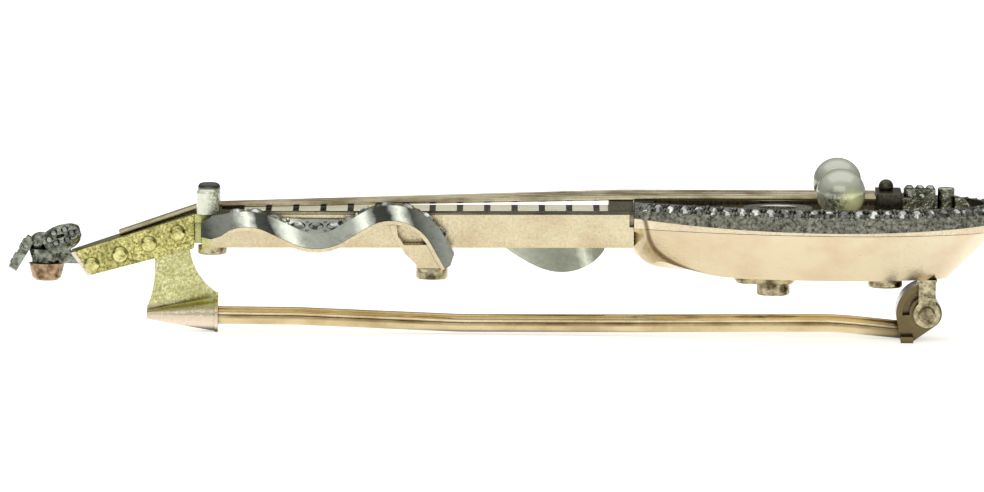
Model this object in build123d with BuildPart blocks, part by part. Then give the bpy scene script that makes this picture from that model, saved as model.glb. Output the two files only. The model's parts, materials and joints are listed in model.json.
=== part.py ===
from build123d import *
from math import asin, atan, cos, degrees, hypot, radians, sin, sqrt, tan
import os

os.makedirs("parts", exist_ok=True)

# A brooch in the form of a mandolin, lying face up on its pin fastening.
# X runs along the mandolin towards the round end of its bowl, Z is up,
# the origin is on the ground under the middle of the whole length.

# Bowl and rim in plan
bowl_length = 20.5
bowl_half_width = 6.2
widest_share = 0.556
tail_narrowing = 1.2
shoulder_half_width = 2.9

# Bowl in height
back_height = 3.5
bowl_depth = 2.73
middle_share = 0.42
side_lean = 1.0
bowl_wall = 0.5
seam_inset = 0.28
nose_half_width = 0.4
heel_length = 5.6
heel_rise = 1.25
heel_rounding = 1.5
hollow_share = 0.6

# Front plate, rim and soundboard
seam_gap = 0.04
seat_gap = 0.02
strip_inset = 0.15
rim_height = 1.42
rim_width = 1.05
rim_bevel_width = 0.72
rim_bevel_height = 0.42
rim_foot_neck = 0.6
rim_foot_middle = 0.2
rim_foot_tail = 0.52
soundboard_drop = 0.65
soundboard_thickness = 0.2
rim_stone_radius = 0.34
rim_stone_pitch = 0.82
rim_stone_from_seam = 0.25
stone_seat_depth = 0.12
stone_height = 0.23
seat_headroom = 0.3
girdle_share = 0.35
table_share = 0.55
small_stone_share = 0.8

# Fittings on the soundboard
sound_hole_share = 0.39
sound_hole_radius = 1.15
rosette_width = 0.8
rosette_height = 0.28
pearl_radius = 1.36
pearl_offset = 3.3
pearl_stagger = 0.05
pearl_lift = 0.06
pearl_cup_radius = 0.85
pearl_cup_height = 0.3
bridge_from_tail = 7.1
bridge_length = 1.44
bridge_half_width = 1.95
bridge_corner = 0.15
bridge_over_strings = 0.3
bridge_bead_radius = 0.42
bridge_bead_share = 0.4
tailpiece_length = 1.95
tailpiece_half_width = 1.3
tailpiece_height = 1.38
tailpiece_step = 0.4
tailpiece_flare = 75.0
tailpiece_ridge_share = 0.9
tailpiece_stone_radius = 0.24
tail_post_radius = 0.47
tail_post_height = 1.46
tail_leaf_length = 0.9
tail_leaf_height = 1.0
tail_leaf_half_width = 0.45
tail_leaf_bulge = 0.6
tail_leaf_tip_share = 0.35

# Neck and fingerboard
neck_length = 23.95
neck_half_width = 2.0
neck_depth = 1.86
neck_wall = 0.45
neck_end_wall = 1.2
neck_chamfer = 0.2
neck_drop = 0.7
neck_tilt = 0.62
joint_gap = 0.03
notch_width = 0.24
notch_depth = 0.7
notch_sink = 0.5
tongue_length = 0.42
tongue_half_width = 1.3
tongue_drop = 0.45
tongue_shoulder_half_width = 1.9
fingerboard_thickness = 0.17
fingerboard_inset = 0.08
fingerboard_from_seam = 0.03
fingerboard_nut_margin = 1.05
cell_depth = 0.12
cell_margin = 0.28
cell_gap = 0.02
cell_corner = 0.12
fret_width = 0.31
fret_count = 13
first_fret_margin = 1.26
end_panel_length = 0.5
saddle_length = 1.38
saddle_margin = 0.01
saddle_half_width = 1.88
saddle_height = 0.55

# Strings and nut posts
string_count = 4
string_radius = 0.14
string_pitch_nut = 0.31
string_pitch_bridge = 1.14
string_over_neck = 0.03
string_over_soundboard = 0.98
string_bend_radius = 2.0
nut_post_radius = 0.63
nut_post_height = 1.42
nut_post_from_end = 0.32
nut_post_offset = 1.72
nut_post_rounding = 0.28

# Head: peg box, pegs and finial
head_drop = 18.5
head_step = -0.02
peg_box_length = 7.2
peg_box_half_width = 1.9
peg_box_tip_half_width = 1.15
peg_box_depth = 1.88
peg_box_tip_depth = 1.5
peg_box_slant = 0.49
peg_count = 4
peg_first = 1.2
peg_pitch = 1.7
peg_depth_first = 0.72
peg_depth_last = 0.99
peg_radius = 0.34
peg_head_radius = 0.44
peg_head_height = 0.18
peg_rounding_share = 0.9
string_end_share = 0.6
finial_length = 3.5
finial_stem_half_width = 0.5
cup_from_box = 1.36
cup_rise = 0.14
cup_depth = 0.79
cup_foot_radius = 0.8
cup_radius = 1.0
knot_radius = 0.62
loop_length = 2.1
loop_width = 1.5
loop_hole_length = 0.5
loop_hole_width = 0.3
loop_thickness = 0.5
loop_stone_radius = 0.2
loop_stone_count = 6
side_loop_from_box = 0.24
side_loop_offset = 0.8
side_loop_rise = 0.87
side_loop_roll = 42.0
end_loop_tilt = 41.0
end_loop_rise = 0.75
finial_nut_radius = 1.0
finial_nut_height = 0.95
finial_nut_taper = 14.0

# Ribbon
ribbon_gap = 0.12
ribbon_width = 1.5
ribbon_thickness = 0.85
ribbon_backing_thickness = 0.2
ribbon_length_share = 0.5745
ribbon_end_cut = 0.2
ribbon_over_back = 1.98
ribbon_rise = 1.6
ribbon_stone_radius = 0.4
ribbon_lean = 0.7
ribbon_lean_length = 3.8
lean_stone_count = 3
lean_stone_pitch = 1.0
fold_length = 3.15
fold_height = 2.38
fold_foot = 4.0
fold_setback = 0.12
fold_setback_along = 0.3
fold_far_reach = 1.0
far_loop_share = 0.3215
far_loop_length = 6.1
far_loop_foot = 3.3
far_loop_height = 3.6
far_loop_thickness = 0.9
ribbon_stud_share = 0.745
ribbon_stud_side = 2.2
ribbon_stud_radius = 0.88
ribbon_stud_height = 0.68

# Nuts and studs under the brooch
neck_nut_from_end = 0.53
neck_nut_radius = 0.8
neck_nut_height = 0.5
bowl_nut_share = 0.38
bowl_nut_radius = 0.92
bowl_nut_height = 0.66
bowl_nut_plate_length = 3.7
bowl_nut_plate_shift = 0.47
bowl_nut_plate_half_width = 1.25
bowl_nut_plate_thickness = 0.42
bowl_nut_plate_taper = 33.0
bowl_stud_from_tail = 6.5
bowl_stud_radius = 0.95
bowl_stud_height = 0.6

# Hinge and pin
hinge_from_tail = 4.2
hinge_height = 1.56
ear_thickness = 0.5
ear_width = 0.95
ear_eye_radius = 0.75
ear_plate_thickness = 0.12
ear_plate_length = 1.1
knuckle_width = 2.6
knuckle_play = 0.05
knuckle_eye_radius = 0.85
fan_radius = 1.7
fan_from = 92.0
fan_to = 200.0
fan_rim = 0.35
fan_web = 0.9
pocket_from = 100.0
pocket_to = 185.0
pocket_inner_radius = 0.95
foot_toe = 1.45
foot_heel = 0.75
foot_bar_half_width = 2.3
foot_bar_height = 0.34
foot_heel_angle = 30.0
rivet_radius = 0.35
rivet_play = 0.03
rivet_head_radius = 0.45
rivet_head_height = 0.18
rivet_rounding_share = 0.6
pin_radius = 0.5
pin_height = 0.9
pin_sag = 0.28
pin_straight = 4.4
wire_from_hinge = 1.3
wire_hinge_height = 0.52
wire_bend_radius = 20.0
wire_bend_share = 0.55
wire_bend_drop = 0.04
seam_sag_share = 0.7
lowest_wire_share = 0.4
pin_shoulder = 0.3
pin_mouth_radius = 0.46
pin_point_length = 3.0
pin_tip_radius = 0.06

# Catch
catch_from_neck_end = 0.9
catch_length = 3.95
catch_radius = 1.04
catch_lift = 0.06
catch_tip_radius = 0.26
catch_wall = 0.28
catch_tip_wall = 0.16
catch_lip_angle = 84.0
catch_bead = 0.06
catch_bead_length = 0.18

# Heights that follow
seam_height = back_height + bowl_depth
rim_top = seam_height + rim_height
soundboard_top = rim_top - soundboard_drop
string_height = soundboard_top + string_over_soundboard

# Stations along the length that follow
tail_radius = bowl_half_width - tail_narrowing
head_cos = cos(radians(head_drop))
head_sin = sin(radians(head_drop))
head_start = neck_length + tongue_length + joint_gap
head_reach = head_start + peg_box_length * head_cos + finial_length
seam_x = (head_reach - bowl_length) / 2
tail_x = seam_x + bowl_length
widest_from_seam = bowl_length * widest_share
widest_x = seam_x + widest_from_seam
neck_end_x = seam_x - neck_length
sound_hole_x = seam_x + bowl_length * sound_hole_share

# Plan outline of the bowl: a flank arc, a swell arc and a tail arc on each side, all tangent
flank_drop = bowl_half_width - shoulder_half_width
flank_radius = (widest_from_seam**2 + flank_drop**2) / (2 * flank_drop)
tail_centre_x = tail_x - tail_radius
swell_radius = ((tail_centre_x - widest_x) ** 2 + bowl_half_width**2 - tail_radius**2) / (
    2 * (bowl_half_width - tail_radius)
)
swell_angle = atan((swell_radius - bowl_half_width) / (tail_centre_x - widest_x))


def half_width_at(x, inset):
    """Half width of the outline on its neck side, drawn in by inset."""
    rise = sqrt((flank_radius - inset) ** 2 - (widest_x - x) ** 2)
    return bowl_half_width - flank_radius + rise


def front_station(inset):
    """The seam, or further on where the outline would be narrower than its nose."""
    drop = flank_radius - bowl_half_width + nose_half_width
    return max(seam_x, widest_x - sqrt((flank_radius - inset) ** 2 - drop**2))


def outline(inset, front):
    """Closed plan outline drawn in by inset, cut off square at the station front."""
    half = half_width_at(front, inset)
    flank = flank_radius - inset
    swell = swell_radius - inset
    tail = tail_radius - inset
    mid_x = (front + widest_x) / 2
    mid_y = half_width_at(mid_x, inset)
    join_x = tail_centre_x + tail * cos(swell_angle)
    join_y = tail * sin(swell_angle)
    swell_mid = (radians(90) + swell_angle) / 2
    swell_x = widest_x + swell * cos(swell_mid)
    swell_y = bowl_half_width - swell_radius + swell * sin(swell_mid)
    tip_x = tail_centre_x + tail
    top = bowl_half_width - inset
    Line((front, -half), (front, half))
    for side in (1, -1):
        ThreePointArc((front, side * half), (mid_x, side * mid_y), (widest_x, side * top))
        ThreePointArc((widest_x, side * top), (swell_x, side * swell_y), (join_x, side * join_y))
    ThreePointArc((join_x, join_y), (tip_x, 0), (join_x, -join_y))


def side_inset(height):
    """Inset of the bowl's leaning side at a height above the ground."""
    return seam_inset + (seam_height - height) * side_lean


def write_piece(part, name):
    """Label a finished piece and write it under its own name."""
    part.label = name
    export_step(part, "parts/" + name + ".step")


# Space under the heel, which the bowl's lower corner is trimmed by.
# Columns: share of the heel's length, share of its rise, flare of its sides in degrees
heel_sections = [
    (-0.03, 1.08, 47.0),
    (0.136, 0.44, 49.0),
    (0.255, 0.28, 60.0),
    (0.357, 0.23, 70.0),
    (0.586, 0.19, 86.0),
    (1.000, 0.00, 89.0),
]
heel_reach = bowl_half_width
heel_ceiling = seam_height + 4 * bowl_depth
with BuildPart() as heel_body:
    for along, rise, flare in heel_sections:
        keel = back_height + heel_rise * rise
        apex = keel - heel_rounding * (1 / sin(radians(flare)) - 1)
        edge = apex + heel_reach / tan(radians(flare))
        station = Plane.YZ.offset(seam_x + heel_length * along)
        with BuildSketch(station) as heel_section:
            with BuildLine():
                FilletPolyline(
                    (-heel_reach, edge), (0, apex), (heel_reach, edge), radius=heel_rounding
                )
                Polyline(
                    (heel_reach, edge),
                    (heel_reach, heel_ceiling),
                    (-heel_reach, heel_ceiling),
                    (-heel_reach, edge),
                )
            make_face()
    loft()

with BuildPart() as heel_space:
    with BuildSketch(Plane.XZ.offset(-heel_reach)):
        with Locations((seam_x, 0)):
            Rectangle(heel_length, seam_height, align=(Align.MIN, Align.MIN))
    extrude(amount=2 * heel_reach)
    add(heel_body.part, mode=Mode.SUBTRACT)

# Bowl: leaning sides, flat back, rounded heel, hollow and open at the seam
middle_height = back_height + middle_share * bowl_depth
with BuildPart() as bowl:
    for height in (back_height, middle_height, seam_height):
        with BuildSketch(Plane.XY.offset(height)):
            with BuildLine():
                outline(side_inset(height), front_station(side_inset(height)))
            make_face()
    loft(ruled=True)
    add(heel_space.part, mode=Mode.SUBTRACT)
    for height in (back_height + bowl_wall, seam_height):
        inner = side_inset(height) + bowl_wall * hypot(1, side_lean)
        with BuildSketch(Plane.XY.offset(height)):
            with BuildLine():
                outline(inner, seam_x + heel_length * hollow_share)
            make_face()
    loft(ruled=True, mode=Mode.SUBTRACT)
write_piece(bowl.part, "bowl")

# The rim's foot follows a shallow arc along the length
with BuildPart() as above_foot:
    with BuildSketch(Plane.XZ):
        with BuildLine():
            foot = ThreePointArc(
                (seam_x, seam_height + rim_foot_neck),
                (widest_x, seam_height + rim_foot_middle),
                (tail_x, seam_height + rim_foot_tail),
            )
            Polyline(foot @ 1, (tail_x, 2 * rim_top), (seam_x, 2 * rim_top), foot @ 0)
        make_face()
    extrude(amount=2 * bowl_half_width, both=True)

# Front plate: a strip that shows above the seam and a floor under the soundboard
strip_ceiling = above_foot.part.moved(Location((0, 0, -seat_gap)))
plate_floor_top = soundboard_top - soundboard_thickness - seat_gap
with BuildPart() as front_plate:
    with BuildSketch(Plane.XY.offset(seam_height + seam_gap)):
        with BuildLine():
            outline(strip_inset, seam_x)
        make_face()
    extrude(amount=rim_height)
    add(strip_ceiling, mode=Mode.SUBTRACT)
    with BuildSketch(Plane.XY.offset(seam_height + seam_gap)):
        with BuildLine():
            outline(rim_width + seam_gap, seam_x + rim_width)
        make_face()
    extrude(amount=plate_floor_top - seam_height - seam_gap)
    with BuildSketch(Plane.XY.offset(plate_floor_top)):
        with Locations((sound_hole_x, 0)):
            Circle(sound_hole_radius)
    extrude(amount=-soundboard_thickness, mode=Mode.SUBTRACT)
write_piece(front_plate.part, "front_plate")

# Rim: silver band round the front, bevelled outside, with a round seat in the bevel for each stone
with BuildLine() as stone_line:
    outline(rim_bevel_width / 2, seam_x + rim_stone_from_seam)
stone_path = Wire.combine(stone_line.wires()[0].edges().filter_by(GeomType.CIRCLE))[0]
rim_stone_count = int(stone_path.length / rim_stone_pitch)


def bevel_plane(share):
    """Plane on the rim's bevel at a share of the stone row, facing out of the bevel."""
    spot = stone_path @ share
    along = stone_path % share
    outward = Vector(along.Y, -along.X, 0)
    if outward.dot(spot - Vector(widest_x, 0, 0)) < 0:
        outward = outward * -1
    return Plane(
        (spot.X, spot.Y, rim_top - rim_bevel_height / 2),
        x_dir=along,
        z_dir=outward * rim_bevel_height + Vector(0, 0, rim_bevel_width),
    )


rim_spots = [bevel_plane((i + 0.5) / rim_stone_count) for i in range(rim_stone_count)]
with BuildPart() as rim:
    with BuildSketch(Plane.XY.offset(seam_height)):
        with BuildLine():
            outline(0, seam_x)
        make_face()
    extrude(amount=rim_height - rim_bevel_height)
    for height, inset in ((rim_top - rim_bevel_height, 0), (rim_top, rim_bevel_width)):
        with BuildSketch(Plane.XY.offset(height)):
            with BuildLine():
                outline(inset, seam_x)
            make_face()
    loft(ruled=True)
    with BuildSketch(Plane.XY.offset(seam_height)):
        with BuildLine():
            outline(rim_width, seam_x + rim_width)
        make_face()
    extrude(amount=rim_height, mode=Mode.SUBTRACT)
    add(above_foot.part, mode=Mode.INTERSECT)
    with BuildSketch(*[spot.offset(-stone_seat_depth) for spot in rim_spots]):
        Circle(rim_stone_radius + seat_gap)
    extrude(amount=stone_seat_depth + seat_headroom, mode=Mode.SUBTRACT)
write_piece(rim.part, "rim")


def cut_stone(radius, height):
    """Flat-based stone with a girdle, eight crown facets and a table, standing on the origin."""
    girdle_height = height * girdle_share
    with BuildPart() as stone:
        with BuildSketch():
            RegularPolygon(radius, 8)
        extrude(amount=girdle_height)
        with BuildSketch(Plane.XY.offset(girdle_height)):
            RegularPolygon(radius, 8)
        with BuildSketch(Plane.XY.offset(height)):
            RegularPolygon(radius * table_share, 8)
        loft()
    return stone.part


rim_stone = cut_stone(rim_stone_radius, stone_height)
with BuildPart() as rim_stones:
    with Locations(*[spot.offset(seat_gap - stone_seat_depth) for spot in rim_spots]):
        add(rim_stone)
write_piece(rim_stones.part, "rim_stones")

# Soundboard with its round hole, and the ring round the hole
with BuildPart() as soundboard:
    with BuildSketch(Plane.XY.offset(plate_floor_top + seat_gap)):
        with BuildLine():
            outline(rim_width + seat_gap, seam_x + rim_width + seat_gap)
        make_face()
        with Locations((sound_hole_x, 0)):
            Circle(sound_hole_radius, mode=Mode.SUBTRACT)
    extrude(amount=soundboard_thickness)
write_piece(soundboard.part, "soundboard")

fitting_floor = Plane.XY.offset(soundboard_top + seat_gap)
with BuildPart() as rosette:
    with BuildSketch(fitting_floor):
        with Locations((sound_hole_x, 0)):
            Circle(sound_hole_radius + rosette_width)
            Circle(sound_hole_radius, mode=Mode.SUBTRACT)
    extrude(amount=rosette_height)
    fillet(rosette.faces().sort_by(Axis.Z)[-1].edges(), radius=rosette_height / 3)
write_piece(rosette.part, "rosette")

# Two pearls, each in a hollow cup
pearl_height = soundboard_top + pearl_lift + pearl_radius
for name, side, shift in (("near", -1, 0.0), ("far", 1, -pearl_stagger)):
    pearl_spot = Pos(widest_x + shift, side * pearl_offset, pearl_height)
    pearl_ball = pearl_spot * Sphere(pearl_radius)
    write_piece(pearl_ball, "pearl_" + name)
    pearl_hollow = pearl_spot * Sphere(pearl_radius + seat_gap)
    with BuildPart() as pearl_cup:
        with BuildSketch(fitting_floor):
            with Locations((widest_x + shift, side * pearl_offset)):
                Circle(pearl_cup_radius)
        extrude(amount=pearl_cup_height)
        add(pearl_hollow, mode=Mode.SUBTRACT)
    write_piece(pearl_cup.part, "pearl_cup_" + name)

# Bridge block with a bead on it
bridge_x = tail_x - bridge_from_tail
bridge_top = string_height + bridge_over_strings
with BuildPart() as bridge:
    with BuildSketch(fitting_floor):
        with Locations((bridge_x + bridge_length / 2, 0)):
            RectangleRounded(bridge_length, 2 * bridge_half_width, bridge_corner)
    extrude(amount=bridge_top - soundboard_top - seat_gap)
    fillet(bridge.faces().sort_by(Axis.Z)[-1].edges(), radius=bridge_corner / 3)
write_piece(bridge.part, "bridge")

with BuildPart() as bridge_bead:
    with Locations((bridge_x + bridge_length * bridge_bead_share, 0, bridge_top + bridge_bead_radius / 2)):
        Sphere(bridge_bead_radius)
    split(bisect_by=Plane.XY.offset(bridge_top + seat_gap), keep=Keep.TOP)
write_piece(bridge_bead.part, "bridge_bead")

# Tailpiece: a stepped block behind the bridge, its stones, an upright post and a leaf
tailpiece_x = bridge_x + bridge_length + joint_gap
tailpiece_top = soundboard_top + seat_gap + tailpiece_height
shoulder_top = tailpiece_top - tailpiece_step
with BuildPart() as tailpiece:
    with BuildSketch(fitting_floor):
        with Locations((tailpiece_x + tailpiece_length / 2, 0)):
            Trapezoid(2 * tailpiece_half_width, tailpiece_length, tailpiece_flare, rotation=-90)
    extrude(amount=tailpiece_height - tailpiece_step)
    with BuildSketch(Plane.XY.offset(shoulder_top)):
        with Locations((tailpiece_x + tailpiece_length / 2, 0)):
            RectangleRounded(
                tailpiece_length * tailpiece_ridge_share, tailpiece_half_width, tailpiece_step / 2
            )
    extrude(amount=tailpiece_step)
write_piece(tailpiece.part, "tailpiece")

ridge_stone = cut_stone(tailpiece_stone_radius, stone_height * small_stone_share)
shoulder_stone = cut_stone(tailpiece_stone_radius * small_stone_share, stone_height * small_stone_share)

# Stones along the ridge and on both shoulders, at shares of the tailpiece's length
ridge_shares = [0.2, 0.5, 0.8]
shoulder_shares = [0.22, 0.55]
shoulder_side_share = 0.72
ridge_places = [
    (tailpiece_x + tailpiece_length * share, 0, tailpiece_top + seat_gap) for share in ridge_shares
]
shoulder_places = [
    (
        tailpiece_x + tailpiece_length * share,
        side * tailpiece_half_width * shoulder_side_share,
        shoulder_top + seat_gap,
    )
    for share in shoulder_shares
    for side in (1, -1)
]
with BuildPart() as tailpiece_stones:
    with Locations(*ridge_places):
        add(ridge_stone)
    with Locations(*shoulder_places):
        add(shoulder_stone)
write_piece(tailpiece_stones.part, "tailpiece_stones")

tail_post_x = tailpiece_x + tailpiece_length + joint_gap + tail_post_radius
with BuildPart() as tail_post:
    with BuildSketch(fitting_floor):
        with Locations((tail_post_x, 0)):
            Circle(tail_post_radius)
    extrude(amount=tail_post_height)
    chamfer(tail_post.faces().sort_by(Axis.Z)[-1].edges(), length=tail_post_radius / 8)
write_piece(tail_post.part, "tail_post")

tail_leaf_x = tail_post_x + tail_post_radius + joint_gap
with BuildPart() as tail_leaf:
    with BuildSketch(Plane.XZ):
        with BuildLine():
            leaf_foot = soundboard_top + seat_gap
            leaf_tip = (tail_leaf_x + tail_leaf_length, leaf_foot + tail_leaf_height * tail_leaf_tip_share)
            leaf_crown = (tail_leaf_x, leaf_foot + tail_leaf_height)
            leaf_back = (
                tail_leaf_x + tail_leaf_length * tail_leaf_bulge,
                leaf_foot + tail_leaf_height * (1 - tail_leaf_tip_share * tail_leaf_bulge),
            )
            ThreePointArc(leaf_crown, leaf_back, leaf_tip)
            Polyline(leaf_tip, (leaf_tip[0], leaf_foot), (tail_leaf_x, leaf_foot), leaf_crown)
        make_face()
    extrude(amount=tail_leaf_half_width, both=True)
write_piece(tail_leaf.part, "tail_leaf")

# Neck frame: its X axis runs along the top of the neck's walls, rising a little to the bowl
neck_slope = tan(radians(neck_tilt))
neck_top = rim_top - neck_drop
neck_plane = Plane(
    (seam_x, 0, neck_top), x_dir=(cos(radians(neck_tilt)), 0, sin(radians(neck_tilt))), z_dir=(0, -1, 0)
)
neck_board = Plane(
    (seam_x, 0, neck_top),
    x_dir=(cos(radians(neck_tilt)), 0, sin(radians(neck_tilt))),
    z_dir=(-sin(radians(neck_tilt)), 0, cos(radians(neck_tilt))),
)

# Neck: a channel open at the top, with a notch by the bowl and a shouldered tongue to the head
with BuildPart() as neck:
    with BuildSketch(neck_plane):
        with Locations((-joint_gap, 0)):
            Rectangle(neck_length - joint_gap, neck_depth, align=(Align.MAX, Align.MAX))
    extrude(amount=neck_half_width, both=True)
    floor_edges = neck.faces().sort_by(Axis.Z)[0].edges().filter_by(Axis.Y, reverse=True)
    chamfer(floor_edges, length=neck_chamfer)
    with BuildSketch(neck_board):
        with Locations((-neck_length / 2, 0)):
            Rectangle(neck_length - 2 * neck_end_wall, 2 * (neck_half_width - neck_wall))
    extrude(amount=-(neck_depth - neck_wall), mode=Mode.SUBTRACT)
    for side in (1, -1):
        with BuildSketch(neck_plane.offset(side * neck_half_width)):
            with Locations((-joint_gap, 0)):
                Rectangle(notch_width, 2 * notch_depth, align=(Align.MAX, Align.CENTER))
        extrude(amount=-side * notch_sink, mode=Mode.SUBTRACT)
    with BuildSketch(neck_plane):
        with Locations((-neck_length, -tongue_drop)):
            Rectangle(tongue_length, neck_depth - tongue_drop - neck_chamfer, align=(Align.MAX, Align.MAX))
    extrude(amount=tongue_half_width, both=True)
    with BuildSketch(neck_plane):
        with Locations((-neck_length, 0)):
            Rectangle(tongue_length, tongue_drop, align=(Align.MAX, Align.MAX))
    extrude(amount=tongue_shoulder_half_width, both=True)
write_piece(neck.part, "neck")

# Fingerboard: a plate on the walls of the neck with a sunk cell for each enamel panel
fingerboard_start = -(neck_length - fingerboard_nut_margin)
fingerboard_half_width = neck_half_width - fingerboard_inset
fingerboard_floor = neck_board.offset(seat_gap)
fingerboard_top = seat_gap + fingerboard_thickness
cell_half_width = fingerboard_half_width - cell_margin
board_length = -fingerboard_start - fingerboard_from_seam
fret_row_length = board_length - first_fret_margin - end_panel_length - saddle_length - 2 * saddle_margin
fret_pitch = fret_row_length / fret_count
first_fret = fingerboard_start + first_fret_margin
fret_panels = [
    (f"fret_panel_{i + 1:02d}", first_fret + fret_pitch * i, fret_pitch - fret_width)
    for i in range(fret_count)
]
fret_panels.append(("fret_panel_end", first_fret + fret_pitch * fret_count, end_panel_length))
with BuildPart() as fingerboard:
    with BuildSketch(fingerboard_floor):
        with Locations((fingerboard_start, 0)):
            Rectangle(board_length, 2 * fingerboard_half_width, align=(Align.MIN, Align.CENTER))
    extrude(amount=fingerboard_thickness)
    with BuildSketch(neck_board.offset(fingerboard_top)):
        for name, start, length in fret_panels:
            with Locations((start + length / 2, 0)):
                RectangleRounded(length, 2 * cell_half_width, cell_corner)
    extrude(amount=-cell_depth, mode=Mode.SUBTRACT)
write_piece(fingerboard.part, "fingerboard")

for name, start, length in fret_panels:
    with BuildPart() as fret_panel:
        with BuildSketch(neck_board.offset(fingerboard_top - cell_depth + cell_gap)):
            with Locations((start + length / 2, 0)):
                RectangleRounded(
                    length - 2 * cell_gap, 2 * (cell_half_width - cell_gap), cell_corner - cell_gap
                )
        extrude(amount=cell_depth)
    write_piece(fret_panel.part, name)

# Saddle: the dark bar at the bowl end of the fingerboard that the strings rest on
saddle_end = -fingerboard_from_seam - saddle_margin
saddle_x = seam_x + saddle_end - saddle_length / 2
with BuildPart() as saddle:
    with BuildSketch(neck_board.offset(fingerboard_top + seat_gap)):
        with Locations((saddle_end - saddle_length / 2, 0)):
            Rectangle(saddle_length, 2 * saddle_half_width)
    extrude(amount=saddle_height)
    fillet(saddle.faces().sort_by(Axis.Z)[-1].edges(), radius=saddle_height / 5)
write_piece(saddle.part, "saddle")

# Nut posts with rounded tops, one on each side of the strings
neck_end_top = neck_top - neck_length * neck_slope
for name, side in (("near", -1), ("far", 1)):
    with BuildPart() as nut_post:
        with BuildSketch(neck_board.offset(seat_gap)):
            with Locations((nut_post_from_end - neck_length, side * nut_post_offset)):
                Circle(nut_post_radius)
        extrude(amount=nut_post_height)
        fillet(nut_post.faces().sort_by(Axis.Z)[-1].edges(), radius=nut_post_rounding)
    write_piece(nut_post.part, "nut_post_" + name)

# Head frame: its origin is the upper corner of the peg box at the neck,
# X runs along the top of the box down to the finial
head_origin = Vector(seam_x - head_start, 0, neck_end_top + head_step)
head_side = Plane(head_origin, x_dir=(-head_cos, 0, -head_sin), z_dir=(0, 1, 0))
head_board = Plane(head_origin, x_dir=(-head_cos, 0, -head_sin), z_dir=(-head_sin, 0, head_cos))


def head_point(along, up):
    """Point in the middle plane at a distance along the head and above its top."""
    return head_origin + Vector(-head_cos, 0, -head_sin) * along + Vector(-head_sin, 0, head_cos) * up


def head_half_width(along):
    """Half width of the peg box at a distance along the head."""
    taper = (peg_box_half_width - peg_box_tip_half_width) / peg_box_length
    return peg_box_half_width - taper * along


peg_sink = (peg_depth_last - peg_depth_first) / (peg_count - 1)
peg_places = [(peg_first + peg_pitch * i, -(peg_depth_first + peg_sink * i)) for i in range(peg_count)]
with BuildPart() as peg_box:
    with BuildSketch(head_side) as head_profile:
        with BuildLine():
            Polyline(
                (0, 0),
                (peg_box_length, 0),
                (peg_box_length - peg_box_slant, -peg_box_tip_depth),
                (peg_box_depth * head_sin, -peg_box_depth * head_cos),
                close=True,
            )
        make_face()
    extrude(amount=peg_box_half_width, both=True)
    with BuildSketch(head_board.offset(-2 * peg_box_depth)):
        with BuildLine():
            Polyline(
                (-peg_box_depth, head_half_width(-peg_box_depth)),
                (peg_box_length, head_half_width(peg_box_length)),
                (peg_box_length, -head_half_width(peg_box_length)),
                (-peg_box_depth, -head_half_width(-peg_box_depth)),
                close=True,
            )
        make_face()
    extrude(amount=3 * peg_box_depth, mode=Mode.INTERSECT)
    with BuildSketch(head_side):
        with Locations(*peg_places):
            Circle(peg_radius + seat_gap)
    extrude(amount=2 * peg_box_half_width, both=True, mode=Mode.SUBTRACT)
write_piece(peg_box.part, "peg_box")

# Pegs: round bars through the box with a low domed head on each side
for i, (along, up) in enumerate(peg_places):
    head_seat = head_half_width(along - peg_head_radius) + seat_gap
    with BuildPart() as peg:
        with BuildSketch(head_side):
            with Locations((along, up)):
                Circle(peg_radius)
        extrude(amount=head_seat, both=True)
        for outward in (1, -1):
            with BuildSketch(head_side.offset(outward * head_seat)):
                with Locations((along, up)):
                    Circle(peg_head_radius)
            extrude(amount=outward * peg_head_height)
        rims = peg.edges().filter_by(GeomType.CIRCLE).group_by(Axis.Y)
        fillet(rims[0] + rims[-1], radius=peg_head_height * peg_rounding_share)
    write_piece(peg.part, f"peg_{i + 1}")

# Strings: from the peg box over the end of the neck and the saddle to the bridge
saddle_rest = fingerboard_top + 2 * seat_gap + saddle_height + string_radius
nut_rest = fingerboard_top + string_over_neck + string_radius
nut_rest_x = neck_end_x - joint_gap
bridge_face_x = bridge_x - joint_gap
string_anchor = head_point(peg_box_length * string_end_share, string_radius + seat_gap)
for i in range(string_count):
    lane = i - (string_count - 1) / 2
    nut_y = lane * string_pitch_nut
    bridge_y = lane * string_pitch_bridge
    saddle_z = neck_top + (saddle_x - seam_x) * neck_slope + saddle_rest
    with BuildPart() as string:
        with BuildLine() as string_path:
            FilletPolyline(
                (string_anchor.X, nut_y, string_anchor.Z),
                (nut_rest_x, nut_y, neck_end_top + nut_rest),
                (saddle_x, bridge_y, saddle_z),
                (bridge_face_x, bridge_y, string_height),
                radius=string_bend_radius,
            )
        with BuildSketch(Plane(string_path.line @ 0, z_dir=string_path.line % 0)):
            Circle(string_radius)
        sweep(path=string_path.line)
    write_piece(string.part, f"string_{i + 1}")

# Finial: a level stem and cup, two knots and three flat loops set with stones
box_tip = head_point(peg_box_length, 0)
box_foot = head_point(peg_box_length - peg_box_slant, -peg_box_tip_depth)
cup_x = box_tip.X - cup_from_box
cup_top = box_tip.Z + cup_rise
cup_floor = cup_top - cup_depth
stem_end_x = box_tip.X - joint_gap
stem_slant = (box_tip.Z - cup_floor) * (box_foot.X - box_tip.X) / (box_tip.Z - box_foot.Z)
finial_start = peg_box_length + joint_gap
loop_mid_length = (loop_length + loop_hole_length) / 4
loop_mid_width = (loop_width + loop_hole_width) / 4
end_loop_slope = radians(head_drop + end_loop_tilt)
end_loop_reach = loop_length / 2 * cos(end_loop_slope) + loop_thickness / 2 * sin(end_loop_slope)
end_loop_x = seam_x - head_reach + end_loop_reach
end_loop_along = (head_origin.X - end_loop_x - end_loop_rise * head_sin) / head_cos


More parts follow.
